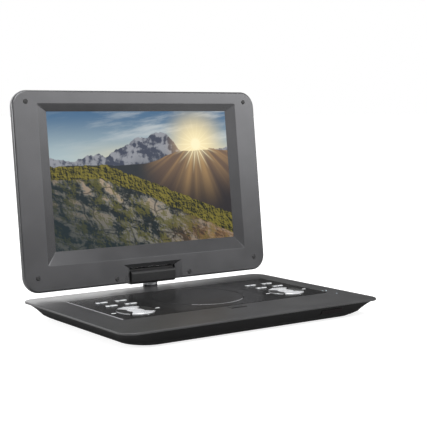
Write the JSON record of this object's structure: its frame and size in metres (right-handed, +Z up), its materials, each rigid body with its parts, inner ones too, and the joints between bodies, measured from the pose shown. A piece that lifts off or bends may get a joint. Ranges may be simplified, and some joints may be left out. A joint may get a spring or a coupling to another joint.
{
  "type": "portable dvd player",
  "caption": "Portable disc player with a wide screen on a tilting and swivelling hinge, a flat flared base, a hinged disc lid, silver keys and side sockets.",
  "frame": {"origin": "on the surface that the feet stand on, below the middle of the base; the flat underside of the base is 2 mm above it", "axes": "+X to the right of a person facing the screen, +Y to the back, +Z up"},
  "size_m": [0.391, 0.2919, 0.2919],
  "materials": {
    "deck_plastic": "satin black",
    "lid_plastic": "gloss black",
    "shell_plastic": "fine texture",
    "bezel_plastic": "satin grey",
    "cover_plastic": "fine texture",
    "hinge_plastic": "satin",
    "key_plastic": "silver paint",
    "black_plastic": "satin",
    "av_plastic": "satin",
    "window_plastic": "gloss",
    "lamp_plastic": "clear",
    "well_plastic": "satin",
    "screen_glass": "anti-glare",
    "light_unit": "satin",
    "rubber": "matt",
    "steel": "ground",
    "screw_steel": "blackened",
    "bracket_steel": "plated",
    "motor_steel": "plated",
    "tin_plate": "tin plate",
    "circuit_board": "solder mask",
    "cell_foil": "foil",
    "cable_jacket": "matt"
  },
  "bodies": {
    "base": {"base_bottom_shell": "shell_plastic", "base_top_shell": "deck_plastic", "disc_well": "well_plastic", "loader_frame": "bracket_steel", "loader_dampers": "rubber", "loader_screws": "screw_steel", "spindle_motor": "motor_steel", "guide_rods": "steel", "sled_motor": "motor_steel", "main_board": "circuit_board", "battery_pack": "cell_foil", "left_key_board": "circuit_board", "right_key_board": "circuit_board", "left_speaker": "motor_steel", "right_speaker": "motor_steel", "headphone_jack": "black_plastic", "av_jack": "av_plastic", "dc_inlet": "black_plastic", "usb_port": "tin_plate", "card_slot": "tin_plate", "power_switch": "tin_plate", "volume_pot": "black_plastic", "ir_window": "window_plastic", "indicator_lights": "lamp_plastic", "rubber_feet": "rubber", "case_screws": "screw_steel", "swivel_bracket": "bracket_steel", "swivel_washer": "steel"},
    "neck": {"hinge_block": "hinge_plastic", "swivel_shaft": "steel", "swivel_clip": "steel", "tilt_shafts": "steel", "tilt_nuts": "screw_steel", "hinge_cable": "cable_jacket"},
    "screen": {"screen_bezel": "bezel_plastic", "screen_back_cover": "cover_plastic", "tilt_brackets": "bracket_steel", "lcd_panel": "screen_glass", "backlight_unit": "light_unit", "bezel_screws": "screw_steel", "screw_covers": "rubber"},
    "lid": {"disc_lid": "lid_plastic"},
    "latch": {"lid_latch": "deck_plastic"},
    "spindle": {"spindle_hub": "black_plastic"},
    "sled": {"pickup_sled": "black_plastic"},
    "sled_screw": {"lead_screw": "steel"},
    "knob": {"power_knob": "black_plastic"},
    "wheel": {"volume_wheel": "black_plastic"},
    "left_key_1_body": {"left_key_1": "key_plastic"},
    "left_key_2_body": {"left_key_2": "key_plastic"},
    "left_key_3_body": {"left_key_3": "key_plastic"},
    "left_key_4_body": {"left_key_4": "key_plastic"},
    "right_key_1_body": {"right_key_1": "key_plastic"},
    "right_key_2_body": {"right_key_2": "key_plastic"},
    "right_key_3_body": {"right_key_3": "key_plastic"},
    "right_key_4_body": {"right_key_4": "key_plastic"},
    "left_nav_ring_body": {"left_nav_ring": "key_plastic"},
    "left_ok_key_body": {"left_ok_key": "key_plastic"},
    "right_nav_ring_body": {"right_nav_ring": "key_plastic"},
    "right_ok_key_body": {"right_ok_key": "key_plastic"}
  },
  "joints": [
    {"name": "screen_swivel", "type": "hinge", "parent": "base", "child": "neck", "pos_m": [0, 0.124, 0.0385], "axis": [0, 0, -1], "range_deg": [0, 180]},
    {"name": "screen_tilt", "type": "hinge", "parent": "neck", "child": "screen", "pos_m": [0, 0.124, 0.0385], "axis": [1, 0, 0], "range_deg": [-82.9, 97.1]},
    {"name": "lid_hinge", "type": "hinge", "parent": "base", "child": "lid", "pos_m": [0, 0.0732, 0.0236], "axis": [-1, 0, 0], "range_deg": [0, 62]},
    {"name": "latch_slide", "type": "slide", "parent": "base", "child": "latch", "axis": [0, -1, 0], "range_m": [0, 0.0025], "stiffness_N_per_m": 400},
    {"name": "spindle_spin", "type": "hinge", "parent": "base", "child": "spindle", "pos_m": [0, 0.01, 0.015], "axis": [0, 0, 1], "continuous": true},
    {"name": "sled_slide", "type": "slide", "parent": "base", "child": "sled", "axis": [0, -1, 0], "range_m": [0, 0.034]},
    {"name": "lead_screw_turn", "type": "hinge", "parent": "base", "child": "sled_screw", "pos_m": [0.031, -0.02, 0.0096], "axis": [0, 1, 0], "range_deg": [0, 4080.1]},
    {"name": "power_knob_slide", "type": "slide", "parent": "base", "child": "knob", "axis": [0, 1, 0], "range_m": [0, 0.0036]},
    {"name": "volume_turn", "type": "hinge", "parent": "base", "child": "wheel", "pos_m": [0.172, 0.012, 0.0125], "axis": [0, 0, 1], "range_deg": [-135, 135]},
    {"name": "left_key_1_press", "type": "slide", "parent": "base", "child": "left_key_1_body", "axis": [0, 0, -1], "range_m": [0, 0.0008], "stiffness_N_per_m": 500},
    {"name": "left_key_2_press", "type": "slide", "parent": "base", "child": "left_key_2_body", "axis": [0, 0, -1], "range_m": [0, 0.0008], "stiffness_N_per_m": 500},
    {"name": "left_key_3_press", "type": "slide", "parent": "base", "child": "left_key_3_body", "axis": [0, 0, -1], "range_m": [0, 0.0008], "stiffness_N_per_m": 500},
    {"name": "left_key_4_press", "type": "slide", "parent": "base", "child": "left_key_4_body", "axis": [0, 0, -1], "range_m": [0, 0.0008], "stiffness_N_per_m": 500},
    {"name": "right_key_1_press", "type": "slide", "parent": "base", "child": "right_key_1_body", "axis": [0, 0, -1], "range_m": [0, 0.0008], "stiffness_N_per_m": 500},
    {"name": "right_key_2_press", "type": "slide", "parent": "base", "child": "right_key_2_body", "axis": [0, 0, -1], "range_m": [0, 0.0008], "stiffness_N_per_m": 500},
    {"name": "right_key_3_press", "type": "slide", "parent": "base", "child": "right_key_3_body", "axis": [0, 0, -1], "range_m": [0, 0.0008], "stiffness_N_per_m": 500},
    {"name": "right_key_4_press", "type": "slide", "parent": "base", "child": "right_key_4_body", "axis": [0, 0, -1], "range_m": [0, 0.0008], "stiffness_N_per_m": 500},
    {"name": "left_nav_ring_press", "type": "slide", "parent": "base", "child": "left_nav_ring_body", "axis": [0, 0, -1], "range_m": [0, 0.0008], "stiffness_N_per_m": 500},
    {"name": "left_ok_key_press", "type": "slide", "parent": "base", "child": "left_ok_key_body", "axis": [0, 0, -1], "range_m": [0, 0.0008], "stiffness_N_per_m": 500},
    {"name": "right_nav_ring_press", "type": "slide", "parent": "base", "child": "right_nav_ring_body", "axis": [0, 0, -1], "range_m": [0, 0.0008], "stiffness_N_per_m": 500},
    {"name": "right_ok_key_press", "type": "slide", "parent": "base", "child": "right_ok_key_body", "axis": [0, 0, -1], "range_m": [0, 0.0008], "stiffness_N_per_m": 500}
  ],
  "couplings": [
    {"joint": "lead_screw_turn", "follows": "sled_slide", "rad_per_m": 2094.4}
  ]
}
